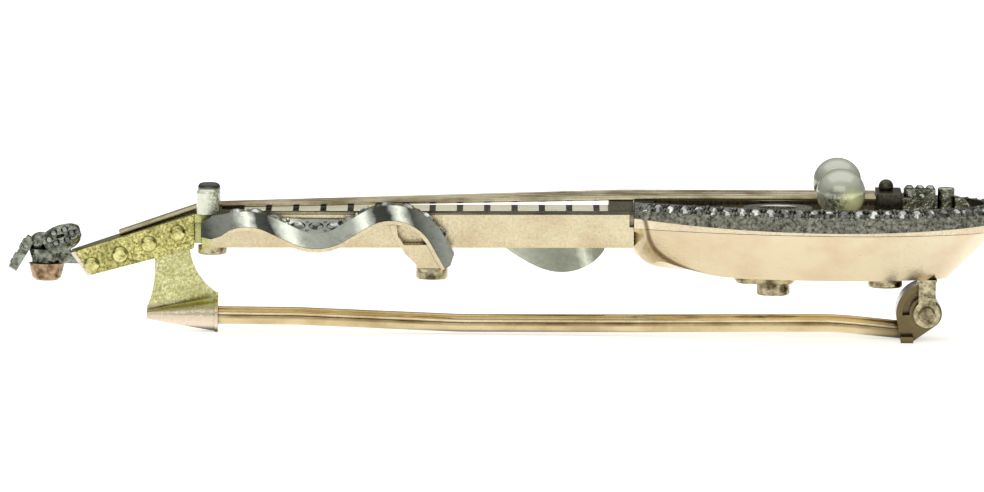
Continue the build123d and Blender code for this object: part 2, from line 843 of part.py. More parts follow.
def head_place(along, across, up, roll, pitch):
    """Plane in the head frame, rolled about the head's length, then pitched down at its end."""
    return Plane(head_board.location * Location((along, across, up), (roll, pitch, 0)))


side_loop_along = finial_start + side_loop_from_box
loops = [
    head_place(side_loop_along, side_loop_offset, side_loop_rise, -side_loop_roll, 0),
    head_place(side_loop_along, -side_loop_offset, side_loop_rise, side_loop_roll, 0),
    head_place(end_loop_along, 0, end_loop_rise, 0, end_loop_tilt),
]
loop_angles = [radians(360 * i / loop_stone_count) for i in range(loop_stone_count)]
loop_stone_places = [
    (loop_mid_length * cos(angle), loop_mid_width * sin(angle)) for angle in loop_angles
]

# Two round knots hold the loops together.
# Columns: distance from the peg box, height above the head's top line
knot_places = [(0.75, 0.88), (1.45, 0.95)]
with BuildPart() as finial:
    with BuildSketch(Plane.XZ):
        with BuildLine():
            Polyline(
                (cup_x, cup_top),
                (stem_end_x, cup_top),
                (stem_end_x, box_tip.Z),
                (stem_end_x + stem_slant, cup_floor),
                (cup_x, cup_floor),
                close=True,
            )
        make_face()
    extrude(amount=finial_stem_half_width, both=True)
    for height, radius in ((cup_floor, cup_foot_radius), (cup_top, cup_radius)):
        with BuildSketch(Plane.XY.offset(height)):
            with Locations((cup_x, 0)):
                Circle(radius)
    loft()
    with Locations(*[head_place(finial_start + along, 0, up, 0, 0) for along, up in knot_places]):
        Sphere(knot_radius)
    with BuildSketch(*[plane.offset(-loop_thickness / 2) for plane in loops]):
        Ellipse(loop_length / 2, loop_width / 2)
        Ellipse(loop_hole_length / 2, loop_hole_width / 2, mode=Mode.SUBTRACT)
    extrude(amount=loop_thickness)
    with BuildSketch(*[plane.offset(loop_thickness / 2 - stone_seat_depth) for plane in loops]):
        with Locations(*loop_stone_places):
            Circle(loop_stone_radius + seat_gap)
    extrude(amount=stone_seat_depth + seat_headroom, mode=Mode.SUBTRACT)
write_piece(finial.part, "finial")

loop_stone = cut_stone(loop_stone_radius, stone_height * small_stone_share)
with BuildPart() as finial_stones:
    for plane in loops:
        loop_seat = plane.offset(loop_thickness / 2 - stone_seat_depth + seat_gap)
        for x, y in loop_stone_places:
            with Locations(loop_seat.location * Location((x, y, 0))):
                add(loop_stone)
write_piece(finial_stones.part, "finial_stones")

with BuildPart() as finial_nut:
    with BuildSketch(Plane.XY.offset(cup_floor - seat_gap)):
        with Locations((cup_x, 0)):
            Circle(finial_nut_radius)
    extrude(amount=-finial_nut_height, taper=finial_nut_taper)
    chamfer(finial_nut.faces().sort_by(Axis.Z)[0].edges(), length=finial_nut_radius / 6)
write_piece(finial_nut.part, "finial_nut")

# Ribbon: a waving band on the near side of the neck.
# Columns: share of the wave's length, share of its rise above the trough, bend radius as a share
# of the wave's length
wave_corners = [
    (0.000, 0.300, 0.000),
    (0.182, 0.850, 0.218),
    (0.466, -0.230, 0.189),
    (0.832, 1.700, 0.214),
    (1.000, -0.800, 0.000),
]
ribbon_length = neck_length * ribbon_length_share
ribbon_start_x = neck_end_x + ribbon_gap
ribbon_face = -(neck_half_width + ribbon_gap)
ribbon_middle = ribbon_face - ribbon_width / 2
ribbon_trough = back_height + ribbon_over_back
with BuildLine() as wave_line:
    FilletPolyline(
        *[
            (ribbon_start_x + ribbon_length * along, ribbon_middle, ribbon_trough + ribbon_rise * rise)
            for along, rise, bend in wave_corners
        ],
        radius=[ribbon_length * bend for along, rise, bend in wave_corners[1:-1]],
    )
wave = wave_line.line


def wave_point(share, lift):
    """Point at a distance above the ribbon's middle line, square to it, in the length and height."""
    spot = wave @ share
    slope = wave % share
    return (spot.X - slope.Z * lift, spot.Z + slope.X * lift)


def wave_plane(share, lift):
    """Plane on the ribbon's middle line at a lift above it, square to the band."""
    x, z = wave_point(share, lift)
    slope = wave % share
    return Plane((x, ribbon_middle, z), x_dir=slope, z_dir=(-slope.Z, 0, slope.X))


# Turned start of the band, wider than the rest.
# Columns: share of the wave's length, share of its rise above the trough
turn_corners = [
    (-0.010, 0.06),
    (0.031, 0.01),
    (0.067, 0.11),
    (0.104, 0.32),
    (0.148, 0.44),
    (0.125, 0.95),
    (0.041, 0.81),
    (-0.010, 0.54),
]

# Shares of the band's length where stones sit, apart from the leaning ones in the trough
ribbon_stone_shares = [0.12, 0.187, 0.254, 0.55, 0.618, 0.686, 0.754, 0.822, 0.89]
wave_start = Plane(wave @ 0, x_dir=(0, 1, 0), z_dir=wave % 0)
trough_arc = wave.edges().filter_by(GeomType.CIRCLE).sort_by(Axis.X)[1]
trough_x = trough_arc.arc_center.X
trough_top = trough_arc.arc_center.Z - trough_arc.radius + ribbon_thickness / 2
lean_normal = Vector(0, -ribbon_lean, ribbon_width).normalized()
stone_spots = [wave_plane(share, ribbon_thickness / 2) for share in ribbon_stone_shares]
for i in range(lean_stone_count):
    lean_x = trough_x + lean_stone_pitch * (i - (lean_stone_count - 1) / 2)
    lean_spot = (lean_x, ribbon_middle, trough_top + ribbon_lean / 2)
    stone_spots.append(Plane(lean_spot, x_dir=(1, 0, 0), z_dir=lean_normal))
with BuildPart() as ribbon_wave:
    with BuildSketch(wave_start):
        Rectangle(ribbon_width, ribbon_thickness)
    sweep(path=wave)
    with BuildSketch(Plane.XZ.offset(-ribbon_middle)):
        with BuildLine():
            end_x, end_z = wave_point(1, 0)
            Polyline(
                (end_x + ribbon_end_cut, end_z + ribbon_thickness),
                (end_x - ribbon_end_cut, end_z - ribbon_thickness / 2),
                (end_x + ribbon_thickness, end_z - ribbon_thickness / 2),
                (end_x + ribbon_thickness, end_z + ribbon_thickness),
                close=True,
            )
        make_face()
    extrude(amount=ribbon_width, both=True, mode=Mode.SUBTRACT)
    with BuildSketch(Plane.YZ.offset(trough_x - ribbon_lean_length / 2)):
        with BuildLine():
            Polyline(
                (ribbon_middle - ribbon_width / 2, trough_top),
                (ribbon_middle + ribbon_width / 2, trough_top + ribbon_lean),
                (ribbon_middle + ribbon_width / 2, trough_top - ribbon_thickness / 4),
                (ribbon_middle - ribbon_width / 2, trough_top - ribbon_thickness / 4),
                close=True,
            )
        make_face()
    extrude(amount=ribbon_lean_length)
    with BuildSketch(Plane.XZ.offset(-ribbon_face)) as turn:
        with BuildLine():
            Polyline(
                *[
                    (ribbon_start_x + ribbon_length * along, ribbon_trough + ribbon_rise * rise)
                    for along, rise in turn_corners
                ],
                close=True,
            )
        make_face()
    extrude(amount=ribbon_width)
    for spot in stone_spots:
        with BuildSketch(spot.offset(-stone_seat_depth)):
            Circle(ribbon_stone_radius + seat_gap)
        extrude(amount=stone_seat_depth + seat_headroom, mode=Mode.SUBTRACT)
write_piece(ribbon_wave.part, "ribbon_wave")

ribbon_stone = cut_stone(ribbon_stone_radius, stone_height)
with BuildPart() as ribbon_stones:
    with Locations(*[spot.offset(seat_gap - stone_seat_depth) for spot in stone_spots]):
        add(ribbon_stone)
write_piece(ribbon_stones.part, "ribbon_stones")

# Gold backing under the band, folded back at its end and passed under the neck.
# Columns: share of the fold's length, share of its height
fold_corners = [
    (0.00, 1.00),
    (0.03, 0.83),
    (0.17, 0.52),
    (0.28, 0.31),
    (0.47, 0.08),
    (0.47, 0.00),
    (0.98, 0.00),
    (0.92, 0.09),
    (0.85, 0.22),
    (0.73, 0.46),
    (0.67, 0.54),
    (0.25, 0.53),
    (0.14, 0.73),
    (0.11, 1.00),
]
fold_x = ribbon_start_x + ribbon_length - fold_setback_along - fold_length
neck_bottom = neck_top - neck_depth + (fold_x - seam_x) * neck_slope
with BuildPart() as ribbon_backing:
    with BuildSketch(wave_start):
        with Locations((0, -ribbon_thickness / 2 - seat_gap)):
            Rectangle(ribbon_width, ribbon_backing_thickness, align=(Align.CENTER, Align.MAX))
    sweep(path=wave)
    with BuildSketch(Plane.XZ.offset(-ribbon_face)):
        offset(turn.sketch_local, amount=seat_gap)
    extrude(amount=ribbon_width, mode=Mode.SUBTRACT)
    with BuildSketch(Plane.XZ.offset(-ribbon_face)) as fold:
        with BuildLine():
            Polyline(
                *[
                    (fold_x + fold_length * along, fold_foot + fold_height * up)
                    for along, up in fold_corners
                ],
                close=True,
            )
        make_face()
    extrude(amount=ribbon_width - fold_setback)
    with BuildSketch(Plane.XZ.offset(-ribbon_face)):
        add(fold.sketch_local)
        with Locations((fold_x, neck_bottom - joint_gap)):
            Rectangle(
                fold_length, fold_height, align=(Align.MIN, Align.MIN), mode=Mode.SUBTRACT
            )
    extrude(amount=ribbon_face - fold_far_reach)
write_piece(ribbon_backing.part, "ribbon_backing")

# Far loop of the ribbon: a leaf that hangs below the neck.
# Columns: share of the loop's length, height of its lower edge and upper edge as shares
loop_stations = [
    (0.00, 0.48, 0.62),
    (0.26, 0.19, 0.88),
    (0.60, 0.00, 1.00),
    (0.84, 0.10, 0.90),
    (1.00, 0.36, 0.62),
]
far_loop_x = seam_x - neck_length * far_loop_share
lower_points = [
    (far_loop_x + far_loop_length * along, far_loop_foot + far_loop_height * low)
    for along, low, high in loop_stations
]
upper_points = [
    (far_loop_x + far_loop_length * along, far_loop_foot + far_loop_height * high)
    for along, low, high in loop_stations
]
with BuildPart() as ribbon_loop:
    with BuildSketch(Plane.XZ.offset(ribbon_face)):
        with BuildLine():
            lower = Spline(*lower_points)
            upper = Spline(*upper_points)
            Line(lower @ 0, upper @ 0)
            Line(lower @ 1, upper @ 1)
        make_face()
    extrude(amount=-far_loop_thickness)
write_piece(ribbon_loop.part, "ribbon_loop")

# Nuts and studs under the brooch
with BuildPart() as ribbon_stud:
    with BuildSketch(Plane.XY.offset(fold_foot - seat_gap)):
        with Locations((fold_x + fold_length * ribbon_stud_share, -ribbon_stud_side)):
            Circle(ribbon_stud_radius)
    extrude(amount=-ribbon_stud_height)
    chamfer(ribbon_stud.faces().sort_by(Axis.Z)[0].edges(), length=ribbon_stud_radius / 10)
write_piece(ribbon_stud.part, "ribbon_stud")

with BuildPart() as neck_nut:
    with BuildSketch(neck_board.offset(-neck_depth - seat_gap)):
        with Locations((-(neck_length - neck_nut_from_end), 0)):
            Circle(neck_nut_radius)
    extrude(amount=-neck_nut_height)
    fillet(neck_nut.faces().sort_by(Axis.Z)[0].edges(), radius=neck_nut_height / 4)
write_piece(neck_nut.part, "neck_nut")

under_back = Plane.XY.offset(back_height - seat_gap)
bowl_nut_x = seam_x + bowl_length * bowl_nut_share
with BuildPart() as bowl_nut:
    with BuildSketch(under_back):
        with Locations((bowl_nut_x - bowl_nut_plate_shift, 0)):
            SlotOverall(bowl_nut_plate_length, 2 * bowl_nut_plate_half_width)
    extrude(amount=-bowl_nut_plate_thickness, taper=bowl_nut_plate_taper)
    with BuildSketch(under_back.offset(-bowl_nut_plate_thickness)):
        with Locations((bowl_nut_x, 0)):
            Circle(bowl_nut_radius)
    extrude(amount=-bowl_nut_height)
    chamfer(bowl_nut.faces().sort_by(Axis.Z)[0].edges(), length=bowl_nut_radius / 12)
write_piece(bowl_nut.part, "bowl_nut")

with BuildPart() as bowl_stud:
    with BuildSketch(under_back):
        with Locations((tail_x - bowl_stud_from_tail, 0)):
            Circle(bowl_stud_radius)
    extrude(amount=-bowl_stud_height)
    fillet(bowl_stud.faces().sort_by(Axis.Z)[0].edges(), radius=bowl_stud_height / 4)
write_piece(bowl_stud.part, "bowl_stud")

# Hinge: a plate under the back with two ears, a rivet through them, the knuckle between them
hinge_x = tail_x - hinge_from_tail
knuckle_half = knuckle_width / 2
ear_inner = knuckle_half + knuckle_play
ear_outer = ear_inner + ear_thickness
hinge_plane = Plane((hinge_x, 0, hinge_height), x_dir=(1, 0, 0), z_dir=(0, -1, 0))
with BuildPart() as hinge_ears:
    with BuildSketch(under_back):
        with Locations((hinge_x, 0)):
            Rectangle(ear_plate_length, 2 * ear_outer)
    extrude(amount=-ear_plate_thickness)
    for side in (1, -1):
        with BuildSketch(hinge_plane.offset(side * ear_inner)):
            Circle(ear_eye_radius)
            Rectangle(ear_width, back_height - seat_gap - hinge_height, align=(Align.CENTER, Align.MIN))
            Circle(rivet_radius + seat_gap, mode=Mode.SUBTRACT)
        extrude(amount=side * ear_thickness)
write_piece(hinge_ears.part, "hinge_ears")

rivet_half = ear_outer + seat_gap
with BuildPart() as hinge_rivet:
    with BuildSketch(hinge_plane):
        Circle(rivet_radius)
    extrude(amount=rivet_half, both=True)
    for side in (1, -1):
        with BuildSketch(hinge_plane.offset(side * rivet_half)):
            Circle(rivet_head_radius)
        extrude(amount=side * rivet_head_height)
    rivet_rims = hinge_rivet.edges().filter_by(GeomType.CIRCLE).group_by(Axis.Y)
    fillet(rivet_rims[0] + rivet_rims[-1], radius=rivet_head_height * rivet_rounding_share)
write_piece(hinge_rivet.part, "hinge_rivet")

# Pin: a flattened fan with a flat foot round the rivet, and a wire that ends in a point.
# The foot's corners are measured from the rivet's centre
fan_mid = radians((fan_from + fan_to) / 2)
heel_angle = radians(foot_heel_angle)
fan_end = (fan_radius * cos(radians(fan_to)), fan_radius * sin(radians(fan_to)))
fan_top = (fan_radius * cos(radians(fan_from)), fan_radius * sin(radians(fan_from)))
fan_middle = (fan_radius * cos(fan_mid), fan_radius * sin(fan_mid))
pin_mouth_x = neck_end_x + catch_from_neck_end
wire_stations = [
    (hinge_x - wire_from_hinge, wire_hinge_height),
    (seam_x + bowl_length * wire_bend_share, pin_height - wire_bend_drop),
    (seam_x, pin_height - pin_sag * seam_sag_share),
    (seam_x - neck_length * lowest_wire_share, pin_height - pin_sag),
    (pin_mouth_x + pin_straight, pin_height),
    (pin_mouth_x, pin_height),
]
with BuildPart() as pin_stem:
    with BuildSketch(hinge_plane):
        Circle(knuckle_eye_radius)
        with BuildLine():
            ThreePointArc(fan_top, fan_middle, fan_end)
            Polyline(
                fan_end,
                (-foot_toe, -hinge_height),
                (-foot_heel, -hinge_height),
                (knuckle_eye_radius * sin(heel_angle), -knuckle_eye_radius * cos(heel_angle)),
                (0, 0),
                fan_top,
            )
        make_face()
    extrude(amount=knuckle_half, both=True)
    with BuildSketch(hinge_plane):
        with Locations((-foot_heel, -hinge_height)):
            Rectangle(foot_toe - foot_heel, foot_bar_height, align=(Align.MAX, Align.MIN))
    extrude(amount=foot_bar_half_width, both=True)
    for side in (1, -1):
        with BuildSketch(hinge_plane.offset(side * knuckle_half)):
            with BuildLine():
                CenterArc((0, 0), fan_radius - fan_rim, pocket_from, pocket_to - pocket_from)
                CenterArc((0, 0), pocket_inner_radius, pocket_from, pocket_to - pocket_from)
                for angle in (radians(pocket_from), radians(pocket_to)):
                    inner_end = (pocket_inner_radius * cos(angle), pocket_inner_radius * sin(angle))
                    outer_end = ((fan_radius - fan_rim) * cos(angle), (fan_radius - fan_rim) * sin(angle))
                    Line(inner_end, outer_end)
            make_face()
        extrude(amount=-side * (knuckle_half - fan_web / 2), mode=Mode.SUBTRACT)
    with BuildLine() as wire_path:
        FilletPolyline(*[(x, 0, z) for x, z in wire_stations], radius=wire_bend_radius)
    with BuildSketch(Plane(wire_path.line @ 0, z_dir=wire_path.line % 0)):
        Circle(pin_radius)
    sweep(path=wire_path.line)
    with BuildSketch(Plane.XZ):
        with BuildLine():
            Polyline(
                (pin_mouth_x, pin_height),
                (pin_mouth_x, pin_height + pin_radius),
                (pin_mouth_x - pin_shoulder, pin_height + pin_mouth_radius),
                (pin_mouth_x - pin_point_length, pin_height + pin_tip_radius),
                (pin_mouth_x - pin_point_length, pin_height),
                close=True,
            )
        make_face()
    revolve(axis=Axis((0, 0, pin_height), (1, 0, 0)))
    with BuildSketch(hinge_plane):
        Circle(rivet_radius + rivet_play)
    extrude(amount=knuckle_half, both=True, mode=Mode.SUBTRACT)
write_piece(pin_stem.part, "pin_stem")

# Catch: a plate under the peg box rolled round the point of the pin, narrowing to its end.
# Columns: share of the catch's length from its mouth, share of its height
catch_front_edge = [(0.41, 1.0), (0.31, 0.65), (0.03, 0.41)]
catch_back_edge = [(0.99, 0.27), (0.895, 0.62), (0.945, 1.0)]
catch_height = neck_top - neck_depth
catch_end_x = pin_mouth_x - catch_length


def catch_section(radius, wall, centre, rise):
    """Hooked section of the catch: a plate on the far side, rolled under the pin to the near side."""
    reach = -180 - catch_lip_angle
    CenterArc((0, centre), radius, 0, reach)
    CenterArc((0, centre), radius - wall, 0, reach)
    lip = radians(reach)
    Line(
        (radius * cos(lip), centre + radius * sin(lip)),
        ((radius - wall) * cos(lip), centre + (radius - wall) * sin(lip)),
    )
    Polyline((radius, centre), (radius, rise), (radius - wall, rise), (radius - wall, centre))


with BuildPart() as catch:
    for x, radius, wall, centre in (
        (pin_mouth_x, catch_radius - catch_bead, catch_wall, pin_height + catch_lift),
        (catch_end_x, catch_tip_radius, catch_tip_wall, pin_height),
    ):
        with BuildSketch(Plane.YZ.offset(x)):
            with BuildLine():
                catch_section(radius, wall, centre, 2 * catch_height)
            make_face()
    loft(ruled=True)
    with BuildSketch(Plane.YZ.offset(pin_mouth_x)):
        with BuildLine():
            catch_section(catch_radius, catch_wall + catch_bead, pin_height + catch_lift, 2 * pin_height)
        make_face()
    extrude(amount=-catch_bead_length)
    with BuildSketch(Plane.XZ):
        with BuildLine():
            front = [(pin_mouth_x - catch_length * a, catch_height * h) for a, h in catch_front_edge]
            back = [(pin_mouth_x - catch_length * a, catch_height * h) for a, h in catch_back_edge]
            ThreePointArc(*front)
            ThreePointArc(*back)
            Polyline(
                front[2],
                (pin_mouth_x, front[2][1]),
                (pin_mouth_x, 0),
                (catch_end_x, 0),
                (catch_end_x, back[0][1]),
                back[0],
            )
            Line(back[2], front[0])
        make_face()
    extrude(amount=2 * catch_radius, both=True, mode=Mode.INTERSECT)
    with BuildSketch(head_side):
        offset(head_profile.sketch_local, amount=seat_gap)
    extrude(amount=2 * catch_radius, both=True, mode=Mode.SUBTRACT)
write_piece(catch.part, "catch")
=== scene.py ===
import bmesh
import bpy
import json
import math
import numpy as np
import random
from mathutils import Matrix, Vector


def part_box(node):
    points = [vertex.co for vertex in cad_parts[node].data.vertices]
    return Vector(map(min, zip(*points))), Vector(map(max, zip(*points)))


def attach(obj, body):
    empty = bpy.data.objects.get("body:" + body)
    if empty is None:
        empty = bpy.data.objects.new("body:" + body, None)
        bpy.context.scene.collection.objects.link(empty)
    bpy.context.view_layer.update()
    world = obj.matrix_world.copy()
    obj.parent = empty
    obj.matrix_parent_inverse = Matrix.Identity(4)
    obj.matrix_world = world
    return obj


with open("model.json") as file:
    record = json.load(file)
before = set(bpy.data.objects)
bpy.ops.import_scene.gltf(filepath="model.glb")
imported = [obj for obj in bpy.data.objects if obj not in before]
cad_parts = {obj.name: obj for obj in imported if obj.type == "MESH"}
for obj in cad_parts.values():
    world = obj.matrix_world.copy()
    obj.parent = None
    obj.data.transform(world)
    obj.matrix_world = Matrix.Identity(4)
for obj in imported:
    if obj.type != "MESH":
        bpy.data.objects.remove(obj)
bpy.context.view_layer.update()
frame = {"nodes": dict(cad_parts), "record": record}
MM = 0.001
rng = random.Random(7)


# Shader helpers

def new_material(name):
    """An empty material, with its nodes and links."""
    mat = bpy.data.materials.new(name)
    mat.use_nodes = True
    mat.node_tree.nodes.clear()
    return mat, mat.node_tree.nodes, mat.node_tree.links


def mm_coords(nodes, links):
    """Place in the frame of the object, in mm."""
    coords = nodes.new("ShaderNodeTexCoord")
    scale = nodes.new("ShaderNodeVectorMath")
    scale.operation = "SCALE"
    scale.inputs["Scale"].default_value = 1 / MM
    links.new(coords.outputs["Object"], scale.inputs[0])
    return scale.outputs["Vector"]


def feed(links, socket, value):
    """Give a socket a number, a colour or the value of another socket."""
    if isinstance(value, (int, float)):
        socket.default_value = value
    elif isinstance(value, tuple):
        socket.default_value = (*value, 1.0)
    else:
        links.new(value, socket)


def noise(nodes, links, where, per_mm, detail=3.0, rough=0.55):
    """Soft noise. Its scale is given per mm."""
    tex = nodes.new("ShaderNodeTexNoise")
    tex.inputs["Scale"].default_value = per_mm
    tex.inputs["Detail"].default_value = detail
    tex.inputs["Roughness"].default_value = rough
    links.new(where, tex.inputs["Vector"])
    return tex.outputs["Fac"]


def ramp(nodes, links, value, stops):
    """Colours between stops, each a place from 0 to 1 and a colour."""
    node = nodes.new("ShaderNodeValToRGB")
    elements = node.color_ramp.elements
    while len(elements) < len(stops):
        elements.new(0.5)
    for element, (place, colour) in zip(elements, stops):
        element.position = place
        element.color = (*colour, 1.0)
    links.new(value, node.inputs["Fac"])
    return node.outputs["Color"]


def to_range(nodes, links, value, low, high, out_low=0.0, out_high=1.0):
    """The value moved from one range to another, and kept inside it."""
    node = nodes.new("ShaderNodeMapRange")
    node.inputs["From Min"].default_value = low
    node.inputs["From Max"].default_value = high
    node.inputs["To Min"].default_value = out_low
    node.inputs["To Max"].default_value = out_high
    links.new(value, node.inputs["Value"])
    return node.outputs["Result"]


def mix(nodes, links, factor, a, b):
    """Colour a where the factor is 0 and colour b where it is 1."""
    node = nodes.new("ShaderNodeMix")
    node.data_type = "RGBA"
    for socket, value in ((node.inputs[0], factor), (node.inputs[6], a), (node.inputs[7], b)):
        feed(links, socket, value)
    return node.outputs[2]


def surface(nodes, links, colour, rough, metallic=1.0, bumps=(), coat=0.0, **extra):
    """Shader of a material. Each bump is a height and its depth in mm."""
    shader = nodes.new("ShaderNodeBsdfPrincipled")
    out = nodes.new("ShaderNodeOutputMaterial")
    links.new(shader.outputs["BSDF"], out.inputs["Surface"])
    shader.inputs["Metallic"].default_value = metallic
    shader.inputs["Coat Weight"].default_value = coat
    for key, value in extra.items():
        shader.inputs[key].default_value = value
    feed(links, shader.inputs["Base Color"], colour)
    feed(links, shader.inputs["Roughness"], rough)
    normal = None
    for height, depth_mm in bumps:
        bump = nodes.new("ShaderNodeBump")
        bump.inputs["Distance"].default_value = depth_mm * MM
        bump.inputs["Strength"].default_value = 1.0
        links.new(height, bump.inputs["Height"])
        if normal is not None:
            links.new(normal, bump.inputs["Normal"])
        normal = bump.outputs["Normal"]
    if normal is not None:
        links.new(normal, shader.inputs["Normal"])
    return shader


def value_of(nodes, links, operation, a, b=None):
    """Result of one operation on one or two values, each a number or a socket."""
    node = nodes.new("ShaderNodeMath")
    node.operation = operation
    for socket, value in zip(node.inputs, (a, b)):
        if value is not None:
            feed(links, socket, value)
    return node.outputs["Value"]


def axes(nodes, links, where):
    """The three parts of a place or a direction."""
    split = nodes.new("ShaderNodeSeparateXYZ")
    links.new(where, split.inputs[0])
    return split.outputs["X"], split.outputs["Y"], split.outputs["Z"]


def crevice(nodes, links, reach_mm):
    """Mask of the painted shade: 1 in narrow gaps and corners, 0 on open faces."""
    node = nodes.new("ShaderNodeAmbientOcclusion")
    node.samples = 6
    node.inputs["Distance"].default_value = reach_mm * MM
    return to_range(nodes, links, node.outputs["AO"], low=0.25, high=0.8, out_low=1.0, out_high=0.0)


def spot(nodes, links, across, up, centre, size):
    """1 at a spot of a round piece, falling to 0 at a distance, both in radii."""
    aside = value_of(nodes, links, "SUBTRACT", across, centre[0])
    over = value_of(nodes, links, "SUBTRACT", up, centre[1])
    aside_square = value_of(nodes, links, "MULTIPLY", aside, aside)
    over_square = value_of(nodes, links, "MULTIPLY", over, over)
    square = value_of(nodes, links, "ADD", aside_square, over_square)
    distance = value_of(nodes, links, "SQRT", square)
    return to_range(nodes, links, distance, low=size * 0.3, high=size, out_low=1.0, out_high=0.0)


# Kinds of material. A paint is one of the painted marks below, laid over the colour

def polished(name, clean, worn, rough, wave=0.5, wave_depth=0.02, grit=0.004, dirt_and_shade=(0.05, 0.04, 0.02),
             reach=0.35, specks=0.0, paint=None, shade_share=1.0, patches=0.35):
    """Polished metal with faint unevenness, cloudy wear, fine scratches and painted shade in the corners.
    """
    mat, nodes, links = new_material(name)
    where = mm_coords(nodes, links)
    broad = noise(nodes, links, where, patches)
    fine = noise(nodes, links, where, per_mm=6.0, detail=6.0, rough=0.7)
    patchiness = to_range(nodes, links, broad, low=0.42, high=0.66)
    colour = mix(nodes, links, patchiness, clean, worn)
    scratches = to_range(nodes, links, fine, low=0.56, high=0.78, out_high=0.35)
    colour = mix(nodes, links, scratches, colour, tuple(part * 0.55 for part in worn))
    if specks:
        pits = noise(nodes, links, where, per_mm=3.1, detail=5.0, rough=0.8)
        pitted = to_range(nodes, links, pits, low=specks, high=specks + 0.03, out_high=0.75)
        colour = mix(nodes, links, pitted, colour, dirt_and_shade)
    if paint:
        colour = paint(nodes, links, where, colour)
    # Painted shade: corners and gaps are darkened towards the dark colour.
    shade_in_hollows = value_of(nodes, links, "MULTIPLY", crevice(nodes, links, reach), shade_share)
    colour = mix(nodes, links, shade_in_hollows, colour, dirt_and_shade)
    uneven = to_range(nodes, links, fine, low=0.35, high=0.7, out_low=rough[0], out_high=rough[1])
    waves = noise(nodes, links, where, wave, detail=2.0)
    surface(nodes, links, colour, uneven, bumps=[(waves, wave_depth), (fine, grit)])
    return mat


def matted(name, clean, pit, grain, depth=0.012, rough=0.30, dirt_and_shade=(0.06, 0.05, 0.015), paint=None):
    """Matted metal: fine bright grains on a duller ground, with painted shade in the corners."""
    mat, nodes, links = new_material(name)
    where = mm_coords(nodes, links)
    broad = noise(nodes, links, where, per_mm=1.1, detail=4.0)
    fine = noise(nodes, links, where, grain, detail=4.0, rough=0.7)
    colour = mix(nodes, links, to_range(nodes, links, fine, low=0.36, high=0.62), pit, clean)
    dullness_and_shade = to_range(nodes, links, broad, low=0.44, high=0.66, out_high=0.45)
    colour = mix(nodes, links, dullness_and_shade, colour, pit)
    if paint:
        colour = paint(nodes, links, where, colour)
    # Painted shade in the corners and gaps.
    colour = mix(nodes, links, crevice(nodes, links, reach_mm=0.4), colour, dirt_and_shade)
    uneven = to_range(nodes, links, fine, low=0.3, high=0.7, out_low=rough * 1.4, out_high=rough * 0.7)
    surface(nodes, links, colour, uneven, bumps=[(broad, 0.06), (fine, depth)])
    return mat


def glaze(name, clean, shade, glow=0.0):
    """Glossy enamel. The glow stands in for light that comes back out of it."""
    mat, nodes, links = new_material(name)
    where = mm_coords(nodes, links)
    broad = noise(nodes, links, where, per_mm=1.1, detail=4.0)
    colour = mix(nodes, links, to_range(nodes, links, broad, low=0.35, high=0.65), clean, shade)
    shader = surface(nodes, links, colour, rough=0.25, metallic=0.0, bumps=[(broad, 0.01)], coat=0.6)
    if glow:
        links.new(colour, shader.inputs["Emission Color"])
        shader.inputs["Emission Strength"].default_value = glow
    return mat


def post_material(name, dark_from):
    """Smooth pale post with mottled painted shade on one side and painted shade in its corners, that
    darkens towards its top.
    """
    mat, nodes, links = new_material(name)
    where = mm_coords(nodes, links)
    x, _, z = axes(nodes, links, where)
    broad = noise(nodes, links, where, per_mm=2.4, detail=4.0)
    fine = noise(nodes, links, where, per_mm=7.0)
    # Painted shade on one side of the round post, broken up by mottling
    shaded_side = to_range(nodes, links, x, *POST_SHADED_SIDE, out_low=0.15)
    mottled_shade = value_of(nodes, links, "MULTIPLY", shaded_side, to_range(nodes, links, fine, low=0.4, high=0.6))
    colour = mix(nodes, links, mottled_shade, (0.95, 0.96, 0.80), (0.34, 0.37, 0.21))
    top = to_range(nodes, links, z, low=dark_from, high=dark_from + POST_FADE)
    colour = mix(nodes, links, top, colour, (0.06, 0.065, 0.05))
    # Painted shade in the corners and gaps
    colour = mix(nodes, links, crevice(nodes, links, reach_mm=0.3), colour, (0.05, 0.05, 0.02))
    surface(nodes, links, colour, rough=0.25, metallic=0.35, bumps=[(broad, 0.03)], coat=0.4)
    return mat


